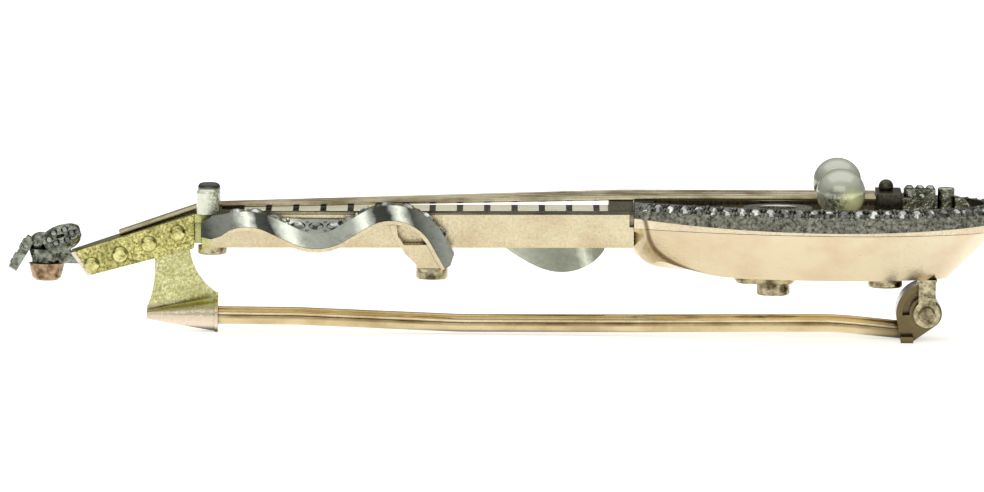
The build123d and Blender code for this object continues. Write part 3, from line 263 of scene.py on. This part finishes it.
def pearl_material(name, node, glow_share, mottled_shade):
    """Grey pearl with a painted highlight on its lighter crown, a painted warm glow low on one side, a
    mottled patch of painted shade on the other, and a faint painted glow in its own colour.
    """
    mat, nodes, links = new_material(name)
    low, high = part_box(node)
    radius = (high[0] - low[0]) / 2 / MM
    middle_x = (low[0] + high[0]) / 2 / MM
    middle_z = high[2] / MM - radius
    where = mm_coords(nodes, links)
    x, _, z = axes(nodes, links, where)
    across = value_of(nodes, links, "DIVIDE", value_of(nodes, links, "SUBTRACT", x, middle_x), radius)
    up = value_of(nodes, links, "DIVIDE", value_of(nodes, links, "SUBTRACT", z, middle_z), radius)
    broad = noise(nodes, links, where, per_mm=0.7)
    fine = noise(nodes, links, where, per_mm=5.0, detail=4.0, rough=0.7)
    # Painted highlight: the pearl is lighter towards its top
    lit_crown = to_range(nodes, links, up, low=-0.2, high=0.6)
    colour = mix(nodes, links, lit_crown, (0.30, 0.31, 0.22), (0.50, 0.52, 0.42))
    # Painted glow, warm, low on one side
    glow_spot = spot(nodes, links, across, up, centre=(0.42, -0.42), size=0.75)
    glow = value_of(nodes, links, "MULTIPLY", glow_spot, glow_share)
    colour = mix(nodes, links, glow, colour, (0.86, 0.87, 0.44))
    # Painted shade, mottled, low on the other side
    shade_spot = spot(nodes, links, across, up, centre=(-0.3, -0.34), size=0.7)
    mottled = to_range(nodes, links, fine, low=0.44, high=0.56, out_high=mottled_shade)
    dullness_and_shade = value_of(nodes, links, "MULTIPLY", shade_spot, mottled)
    colour = mix(nodes, links, dullness_and_shade, colour, (0.05, 0.055, 0.03))
    # Coat and subsurface give lustre; the emission is a painted glow in the pearl's own colour
    lustre_and_glow = {
        "Coat Roughness": 0.08,
        "Subsurface Weight": 0.15,
        "Subsurface Scale": 0.6 * MM,
        "Emission Strength": 0.2,
    }
    bumps = [(broad, 0.02)]
    shader = surface(nodes, links, colour, rough=0.24, metallic=0.3, bumps=bumps, coat=1.0, **lustre_and_glow)
    links.new(colour, shader.inputs["Emission Color"])
    return mat


def stone_material(name, brightest):
    """Old cut stones: some bright, some dark and dull."""
    mat, nodes, links = new_material(name)
    where = mm_coords(nodes, links)
    cells = nodes.new("ShaderNodeTexVoronoi")
    cells.inputs["Scale"].default_value = 2.4
    links.new(where, cells.inputs["Vector"])
    colour = ramp(nodes, links, cells.outputs["Color"], [(0.38, (0.07, 0.075, 0.06)), (0.85, brightest)])
    surface(nodes, links, colour, rough=0.05, metallic=0.8, coat=1.0, IOR=2.4)
    return mat


# Places of the painted marks, in mm. A pair is the span over which a mark comes in or fades out

POST_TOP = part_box("nut_post_near")[1][2] / MM
POST_SHADED_SIDE = (-16.6, -16.1)
POST_FADE = 0.12
NEAR_POST_DARK = 0.10
FAR_POST_DARK = 0.42
PANEL_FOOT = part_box("fret_panel_05")[0][2] / MM
PANEL_SEAM = 0.05
NECK_END = (-16.6, -16.2)

# Upper end of the crease as x and z, and its way towards the round end of the bowl as it goes down
CREASE_TOP = (7.85, 6.15)
CREASE_LEAN = 0.2
CREASE_CURVE = 0.16
CREASE_STRETCH = 1.1
CREASE_WIDTH = (0.05, 0.15)
CREASE_FOOT = (3.62, 3.85)

# A point of the peg box's far end as x and z, and the direction across its bevel
BOX_TIP = (-24.114, 4.386)
BOX_END_ACROSS = (0.803, 0.597)
BOX_END_BEVEL = (0.16, 0.24)

# Rolled part of the catch: heights of its shades, its side and its top
CONE_SHADES = (0.5, 1.3)
CONE_SIDE = (0.2, 0.4)
CONE_TOP = (1.35, 1.6)

# The pin's own frame has its origin at the hinge. The painted dark reflection line's tilt and width are
# shares of 1, where a surface that faces straight up has 1 and one that faces sideways has 0
PIN_BROWN_STATION = 19.6
PIN_BROWN_FROM = PIN_BROWN_STATION - frame["nodes"]["pin_stem"].matrix_world.translation.x / MM
PIN_BROWN_FADE = 2.4
PIN_LINE_TILT = 0.03
PIN_LINE_WIDTH = (0.12, 0.36)

# Painted reflections and highlights of the waved ribbon and the far loop, given as tones set by eye. Each
# is a share of the span and a brightness
REFLECTIONS_HEIGHT = 5.5
REFLECTIONS_SLANT = 0.3
REFLECTIONS_RIPPLE = 0.12
RIBBON_SPAN = (-16.5, -2.5)
RIBBON_REFLECTIONS = [
    (0.0, 0.06), (0.04, 0.15), (0.13, 0.22), (0.18, 0.97), (0.215, 0.07), (0.265, 0.04),
    (0.33, 0.97), (0.385, 0.36), (0.49, 0.29), (0.59, 0.36), (0.645, 0.98), (0.69, 0.05),
    (0.745, 0.04), (0.79, 0.90), (0.835, 0.06), (0.88, 0.15), (0.94, 0.26), (1.0, 0.08),
]
LOOP_SPAN = (0.0, 6.5)
LOOP_REFLECTIONS = [
    (0.0, 0.50), (0.25, 0.30), (0.40, 0.24), (0.55, 0.30), (0.63, 0.70), (0.70, 0.26), (1.0, 0.14),
]
PINKISH = (0.86, 0.74, 0.62)


# Painted marks. Each gives the new colour

def crease_shade(nodes, links, where, colour):
    """Painted shade: a dark line along the crease where the heel meets the side of the bowl."""
    x, _, z = axes(nodes, links, where)
    drop = value_of(nodes, links, "SUBTRACT", CREASE_TOP[1], z)
    square = value_of(nodes, links, "MULTIPLY", drop, drop)
    cube = value_of(nodes, links, "MULTIPLY", square, drop)
    lean = value_of(nodes, links, "MULTIPLY", drop, CREASE_LEAN)
    curve = value_of(nodes, links, "MULTIPLY", cube, CREASE_CURVE)
    shift = value_of(nodes, links, "ADD", lean, curve)
    middle = value_of(nodes, links, "ADD", shift, CREASE_TOP[0])
    across = value_of(nodes, links, "SUBTRACT", x, middle)
    steepness = value_of(nodes, links, "MULTIPLY", square, 3 * CREASE_CURVE)
    slope = value_of(nodes, links, "ADD", steepness, CREASE_STRETCH)
    away = value_of(nodes, links, "ABSOLUTE", value_of(nodes, links, "DIVIDE", across, slope))
    band = to_range(nodes, links, away, *CREASE_WIDTH, out_low=0.85, out_high=0.0)
    band = value_of(nodes, links, "MULTIPLY", band, to_range(nodes, links, z, *CREASE_FOOT))
    return mix(nodes, links, band, colour, (0.17, 0.11, 0.05))


def box_end(nodes, links, where, colour):
    """Pale bevel along the far end of the peg box."""
    x, _, z = axes(nodes, links, where)
    from_tip = value_of(nodes, links, "SUBTRACT", x, BOX_TIP[0])
    over_tip = value_of(nodes, links, "SUBTRACT", z, BOX_TIP[1])
    along = value_of(nodes, links, "MULTIPLY", from_tip, BOX_END_ACROSS[0])
    above = value_of(nodes, links, "MULTIPLY", over_tip, BOX_END_ACROSS[1])
    inside = value_of(nodes, links, "ADD", along, above)
    bevel = to_range(nodes, links, inside, *BOX_END_BEVEL, out_low=1.0, out_high=0.0)
    return mix(nodes, links, bevel, colour, PINKISH)


def neck_end(nodes, links, where, colour):
    """Greener gold at the end of the neck by the peg box."""
    x = axes(nodes, links, where)[0]
    end = to_range(nodes, links, x, *NECK_END, out_low=1.0, out_high=0.0)
    return mix(nodes, links, end, colour, (0.55, 0.55, 0.22))


def cone_tones(nodes, links, where, colour):
    """The rolled part of the catch: grey-brown above, pinkish and pale below."""
    _, y, z = axes(nodes, links, where)
    cone = mix(nodes, links, to_range(nodes, links, z, *CONE_SHADES), PINKISH, (0.56, 0.50, 0.32))
    side = to_range(nodes, links, y, *CONE_SIDE, out_low=1.0, out_high=0.0)
    under_top = to_range(nodes, links, z, *CONE_TOP, out_low=1.0, out_high=0.0)
    rolled = value_of(nodes, links, "MULTIPLY", side, under_top)
    return mix(nodes, links, rolled, colour, cone)


def pin_tones(nodes, links, where, colour):
    """The pin has a painted dark reflection along the middle of its sides and turns brown towards its
    hinge.
    """
    x = axes(nodes, links, where)[0]
    facing = nodes.new("ShaderNodeNewGeometry")
    tilt = axes(nodes, links, facing.outputs["Normal"])[2]
    cloudy = noise(nodes, links, where, per_mm=0.5, detail=4.0)
    patchiness = to_range(nodes, links, cloudy, low=0.35, high=0.65, out_low=0.5, out_high=0.95)
    # Painted reflection: a dark line where the surface faces sideways, patchy in strength
    away = value_of(nodes, links, "ABSOLUTE", value_of(nodes, links, "SUBTRACT", tilt, PIN_LINE_TILT))
    line = to_range(nodes, links, away, *PIN_LINE_WIDTH, out_low=1.0, out_high=0.0)
    band = value_of(nodes, links, "MULTIPLY", line, patchiness)
    colour = mix(nodes, links, band, colour, (0.17, 0.115, 0.045))
    brown = to_range(nodes, links, x, PIN_BROWN_FROM, PIN_BROWN_FROM + PIN_BROWN_FADE, out_high=0.9)
    return mix(nodes, links, brown, colour, (0.13, 0.10, 0.05))


def board_tones(nodes, links, where, colour):
    """The fingerboard's edge under the panels is paler."""
    z = axes(nodes, links, where)[2]
    edge = to_range(nodes, links, z, PANEL_FOOT, PANEL_FOOT + PANEL_SEAM, out_low=1.0, out_high=0.0)
    return mix(nodes, links, edge, colour, (0.42, 0.37, 0.23))


def reflections_along(nodes, links, where, span, stops, tint):
    """Painted reflections and highlights: soft light and dark tones along X, slanted a little, over a span.
    """
    x, _, z = axes(nodes, links, where)
    above = value_of(nodes, links, "SUBTRACT", z, REFLECTIONS_HEIGHT)
    slant = value_of(nodes, links, "MULTIPLY", above, REFLECTIONS_SLANT)
    cloudy = noise(nodes, links, where, per_mm=1.6)
    ripple = to_range(nodes, links, cloudy, 0.3, 0.7, out_low=-REFLECTIONS_RIPPLE, out_high=REFLECTIONS_RIPPLE)
    slanted = value_of(nodes, links, "ADD", x, slant)
    place = value_of(nodes, links, "ADD", slanted, ripple)
    share = to_range(nodes, links, place, *span)
    return ramp(nodes, links, share, [(at, tuple(tone * part for part in tint)) for at, tone in stops])


def ribbon_reflections(nodes, links, where, colour):
    """Painted reflections and highlights of the waved ribbon, in place of its colour."""
    return reflections_along(nodes, links, where, RIBBON_SPAN, RIBBON_REFLECTIONS, (0.95, 1.0, 0.86))


def loop_reflections(nodes, links, where, colour):
    """Painted reflections and highlights of the far loop, in place of its colour."""
    return reflections_along(nodes, links, where, LOOP_SPAN, LOOP_REFLECTIONS, (0.96, 1.0, 0.78))


# Materials and the nodes that wear them

# Colour of the painted shade in the corners of the silver parts
GREY_SHADE = (0.02, 0.02, 0.017)
UNDER_TONES = ((0.5, 0.5, 0.5), (0.4, 0.4, 0.4))
MATERIALS = {
    # Every polished and matted metal has painted shade in its corners; rose gold has only a small share of
    # it
    "rose_gold": polished(
        "rose_gold", (0.79, 0.69, 0.49), (0.72, 0.59, 0.41), rough=(0.14, 0.30), reach=0.2, specks=0.80,
        paint=crease_shade, shade_share=0.15,
    ),
    "pin_gold": polished(
        "pin_gold", (0.76, 0.64, 0.40), (0.58, 0.46, 0.25), rough=(0.10, 0.24), grit=0.002,
        paint=pin_tones,
    ),
    "yellow_gold": polished(
        "yellow_gold", (0.74, 0.65, 0.43), (0.64, 0.52, 0.33), rough=(0.16, 0.36), specks=0.70,
        paint=neck_end,
    ),
    "bronze": polished(
        "bronze", (0.56, 0.49, 0.31), (0.12, 0.095, 0.05), rough=(0.12, 0.34),
        wave=1.3, wave_depth=0.10, grit=0.01, patches=1.6,
    ),
    "green_gold": matted("green_gold", (0.80, 0.75, 0.30), (0.17, 0.155, 0.03), grain=7.0, paint=box_end),
    "peg_gold": polished(
        "peg_gold", (0.72, 0.68, 0.30), (0.34, 0.31, 0.09), rough=(0.10, 0.25),
        wave=1.6, wave_depth=0.04, patches=2.6,
    ),
    "brown_gold": polished(
        "brown_gold", (0.46, 0.32, 0.20), (0.13, 0.08, 0.035), rough=(0.14, 0.3),
        wave=1.6, wave_depth=0.06, patches=2.2,
    ),
    "catch_gold": matted("catch_gold", (0.86, 0.86, 0.48), (0.46, 0.43, 0.16), grain=7.0, paint=cone_tones),
    "silver": matted(
        "silver", (0.33, 0.33, 0.265), (0.045, 0.045, 0.035), grain=5.0, depth=0.012, rough=0.34,
        dirt_and_shade=GREY_SHADE,
    ),
    "board_silver": polished(
        "board_silver", (0.12, 0.12, 0.09), (0.07, 0.07, 0.05), rough=(0.24, 0.45),
        wave=1.8, wave_depth=0.06, grit=0.014, dirt_and_shade=GREY_SHADE, paint=board_tones,
    ),
    "ribbon_silver": polished(
        "ribbon_silver", *UNDER_TONES, rough=(0.10, 0.24),
        wave=0.9, wave_depth=0.03, grit=0.006, dirt_and_shade=GREY_SHADE, paint=ribbon_reflections,
    ),
    "loop_silver": polished(
        "loop_silver", *UNDER_TONES, rough=(0.14, 0.28),
        wave=0.9, wave_depth=0.03, grit=0.006, dirt_and_shade=GREY_SHADE, paint=loop_reflections,
    ),
    "bow_silver": polished(
        "bow_silver", (0.33, 0.35, 0.28), (0.055, 0.06, 0.045), rough=(0.16, 0.34),
        wave=1.6, wave_depth=0.30, grit=0.02, dirt_and_shade=GREY_SHADE, patches=1.8,
    ),
    "ring_silver": polished("ring_silver", (0.80, 0.80, 0.72), (0.60, 0.60, 0.50), rough=(0.20, 0.36)),
    "tail_silver": polished(
        "tail_silver", (0.58, 0.59, 0.47), (0.16, 0.17, 0.10), rough=(0.2, 0.4),
        wave=2.5, wave_depth=0.15, grit=0.02, patches=2.2,
    ),
    "dark_silver": polished(
        "dark_silver", (0.11, 0.10, 0.075), (0.04, 0.036, 0.02), rough=(0.2, 0.45),
        wave=1.2, wave_depth=0.04, grit=0.01,
    ),
    "string_wire": polished("string_wire", (0.52, 0.46, 0.31), (0.22, 0.18, 0.10), rough=(0.15, 0.3)),
    "pale_enamel": glaze("pale_enamel", (0.97, 0.92, 0.73), (0.86, 0.80, 0.60), glow=0.55),
    "brown_enamel": glaze("brown_enamel", (0.16, 0.10, 0.03), (0.07, 0.05, 0.02)),
    "near_post": post_material("near_post", dark_from=POST_TOP - NEAR_POST_DARK),
    "far_post": post_material("far_post", dark_from=POST_TOP - FAR_POST_DARK),
    "near_pearl": pearl_material("near_pearl", "pearl_near", glow_share=0.85, mottled_shade=0.9),
    "far_pearl": pearl_material("far_pearl", "pearl_far", glow_share=0.0, mottled_shade=0.5),
    "diamond": stone_material("diamond", (0.72, 0.74, 0.68)),
    "dull_stone": stone_material("dull_stone", (0.30, 0.32, 0.27)),
}

# Nodes that look different from their material slot in the record
WEARERS = {
    "yellow_gold": ["neck", "ribbon_backing"],
    "catch_gold": ["catch"],
    "ribbon_silver": ["ribbon_wave"],
    "loop_silver": ["ribbon_loop"],
    "bow_silver": ["finial"],
    "ring_silver": ["rosette"],
    "near_post": ["nut_post_near"],
    "far_post": ["nut_post_far"],
    "bronze": ["neck_nut", "ribbon_stud", "bowl_nut", "bowl_stud", "hinge_ears", "hinge_rivet"],
    "brown_gold": ["finial_nut"],
    "dull_stone": ["finial_stones"],
    "pin_gold": ["pin_stem"],
    "tail_silver": ["tailpiece", "tail_post", "tail_leaf"],
    "near_pearl": ["pearl_near"],
    "far_pearl": ["pearl_far"],
    "board_silver": ["fingerboard"],
    "peg_gold": ["peg_1", "peg_2", "peg_3", "peg_4"],
}
LOOK_OF = {name: look for look, names in WEARERS.items() for name in names}
SLOT_OF = {entry["node"]: entry["material_slot"] for entry in frame["record"]["subparts"]}
for name, node in frame["nodes"].items():
    node.data.materials.clear()
    node.data.materials.append(MATERIALS[LOOK_OF.get(name, SLOT_OF[name])])


# Grains that hold the stones. Sizes and distances are in mm

MICRONS_PER_METRE = 1e6
MICRON = 1e-6
NEIGHBOUR_REACH = 1.6
GRAIN_SIZES = (0.75, 1.2)
GRAIN_SPREADS = (0.85, 1.1)


def stones_of(name):
    """Centre and axis of each loose stone of a node. Corners in the same micron are one."""
    mesh = frame["nodes"][name].data
    corners = {}
    index = []
    for vertex in mesh.vertices:
        key = tuple(round(c * MICRONS_PER_METRE) for c in vertex.co)
        index.append(corners.setdefault(key, len(corners)))
    parent = list(range(len(corners)))

    def root(i):
        while parent[i] != i:
            parent[i] = parent[parent[i]]
            i = parent[i]
        return i

    for edge in mesh.edges:
        a, b = (root(index[v]) for v in edge.vertices)
        if a != b:
            parent[a] = b
    groups = {}
    for key, i in corners.items():
        groups.setdefault(root(i), []).append(np.array(key) * MICRON)
    found = []
    for points in groups.values():
        points = np.array(points)
        centre = points.mean(axis=0)
        axis = np.linalg.svd(points - centre)[2][2]
        if axis[2] < 0:
            axis = -axis
        found.append((Vector(centre), Vector(axis)))
    return found


def add_grains(piece, spots, material):
    """One piece of small round grains. Each spot is a place and a radius."""
    mesh = bpy.data.meshes.new(piece)
    bm = bmesh.new()
    for where, radius in spots:
        ball = bmesh.ops.create_icosphere(bm, subdivisions=2, radius=radius)
        bmesh.ops.translate(bm, verts=ball["verts"], vec=where)
    for face in bm.faces:
        face.smooth = True
    bm.to_mesh(mesh)
    bm.free()
    obj = bpy.data.objects.new(piece, mesh)
    bpy.context.scene.collection.objects.link(obj)
    mesh.materials.append(MATERIALS[material])
    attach(obj, "brooch")


def chain(stones):
    """The stones in order along the row, starting from its end."""
    left = sorted(stones, key=lambda stone: (round(stone[0].x, 5), stone[0].y))
    row = [left.pop(0)]
    while left:
        nearest = min(left, key=lambda stone: (stone[0] - row[-1][0]).length)
        left.remove(nearest)
        row.append(nearest)
    return row


def grain_spots(row, size, spread, sink):
    """Two grains between each pair of neighbours, one on each side of the row."""
    spots = []
    for a, b in zip(row, row[1:]):
        if (b[0] - a[0]).length > NEIGHBOUR_REACH * MM:
            continue
        axis = (a[1] + b[1]).normalized()
        across = axis.cross(b[0] - a[0]).normalized()
        middle = (a[0] + b[0]) / 2
        for side in (1, -1):
            radius = size * MM * rng.uniform(*GRAIN_SIZES)
            offset = across * side * spread * MM * rng.uniform(*GRAIN_SPREADS)
            spots.append((middle + offset - axis * sink * MM, radius))
    return spots


rim_row = chain(stones_of("rim_stones"))
add_grains("rim_grains", grain_spots(rim_row, size=0.15, spread=0.31, sink=0.02), "silver")
ribbon_row = sorted(stones_of("ribbon_stones"), key=lambda stone: stone[0].x)
add_grains("ribbon_grains", grain_spots(ribbon_row, size=0.12, spread=0.46, sink=0.04), "ribbon_silver")


# Floor, a pale sheet that glows a little. Sizes of the floor and the lights are in metres

FLOOR_SIZE = 4.0
FLOOR_GLOW = {
    "Emission Color": (1.0, 1.0, 0.992, 1.0),
    "Emission Strength": 0.62,
    "Specular IOR Level": 0.0,
}
bpy.ops.mesh.primitive_plane_add(size=FLOOR_SIZE, location=(0, 0, 0))
floor = bpy.context.object
floor.name = "floor"
mat, nodes, links = new_material("floor")
surface(nodes, links, (0.93, 0.93, 0.92), rough=0.9, metallic=0.0, **FLOOR_GLOW)
floor.data.materials.append(mat)


# Lights

ORIGIN = Vector((0.0, 0.0, 0.0))


def area(name, place, size, power):
    """Rectangular lamp that shines on the origin."""
    light = bpy.data.lights.new(name, "AREA")
    light.shape = "RECTANGLE"
    light.size, light.size_y = size
    light.energy = power
    holder = bpy.data.objects.new(name, light)
    holder.location = place
    direction = ORIGIN - Vector(place)
    holder.rotation_mode = "QUATERNION"
    holder.rotation_quaternion = direction.to_track_quat("-Z", "Y")
    bpy.context.scene.collection.objects.link(holder)


area("over", place=(0.0, 0.05, 0.5), size=(0.9, 0.6), power=1.1)
area("front", place=(-0.1, -0.6, 0.3), size=(0.7, 0.3), power=0.8)


# World: white below, grey at the horizon, darkest a little above it, lighter again overhead

SKY = [
    (0.0, (0.9, 0.9, 0.9)),
    (0.5, (0.22, 0.22, 0.20)),
    (0.62, (0.13, 0.125, 0.11)),
    (0.76, (0.40, 0.40, 0.39)),
    (1.0, (0.60, 0.60, 0.60)),
]
SKY_STRENGTH = 0.9
world = bpy.data.worlds.new("studio")
bpy.context.scene.world = world
world.use_nodes = True
nodes, links = world.node_tree.nodes, world.node_tree.links
nodes.clear()
coords = nodes.new("ShaderNodeTexCoord")
height = axes(nodes, links, coords.outputs["Generated"])[2]
tone = ramp(nodes, links, to_range(nodes, links, height, low=-1.0, high=1.0), SKY)
back = nodes.new("ShaderNodeBackground")
back.inputs["Strength"].default_value = SKY_STRENGTH
links.new(tone, back.inputs["Color"])
out = nodes.new("ShaderNodeOutputWorld")
links.new(back.outputs["Background"], out.inputs["Surface"])


# Camera, in front of the near side and a little above it

ELEVATION = math.radians(5.6)
ROLL = math.radians(0.66)
DISTANCE = 0.8
TARGET = Vector((-0.75, 0.0, 4.93)) * MM
SENSOR_WIDTH_MM = 36.0
LENS_MM = 526.8
CLIP = (0.05, 20.0)
toward = Vector((0.0, math.cos(ELEVATION), -math.sin(ELEVATION)))
right = Vector((1.0, 0.0, 0.0))
up = right.cross(toward)
rolled_right = right * math.cos(ROLL) + up * math.sin(ROLL)
rolled_up = up * math.cos(ROLL) - right * math.sin(ROLL)
camera_data = bpy.data.cameras.new("camera")
camera_data.sensor_width = SENSOR_WIDTH_MM
camera_data.lens = LENS_MM
camera_data.clip_start, camera_data.clip_end = CLIP
camera = bpy.data.objects.new("camera", camera_data)
bpy.context.scene.collection.objects.link(camera)
place = TARGET - toward * DISTANCE
turn = Matrix((rolled_right, rolled_up, -toward)).transposed().to_4x4()
camera.matrix_world = Matrix.Translation(place) @ turn
bpy.context.scene.camera = camera
bpy.context.scene.view_settings.view_transform = "Standard"
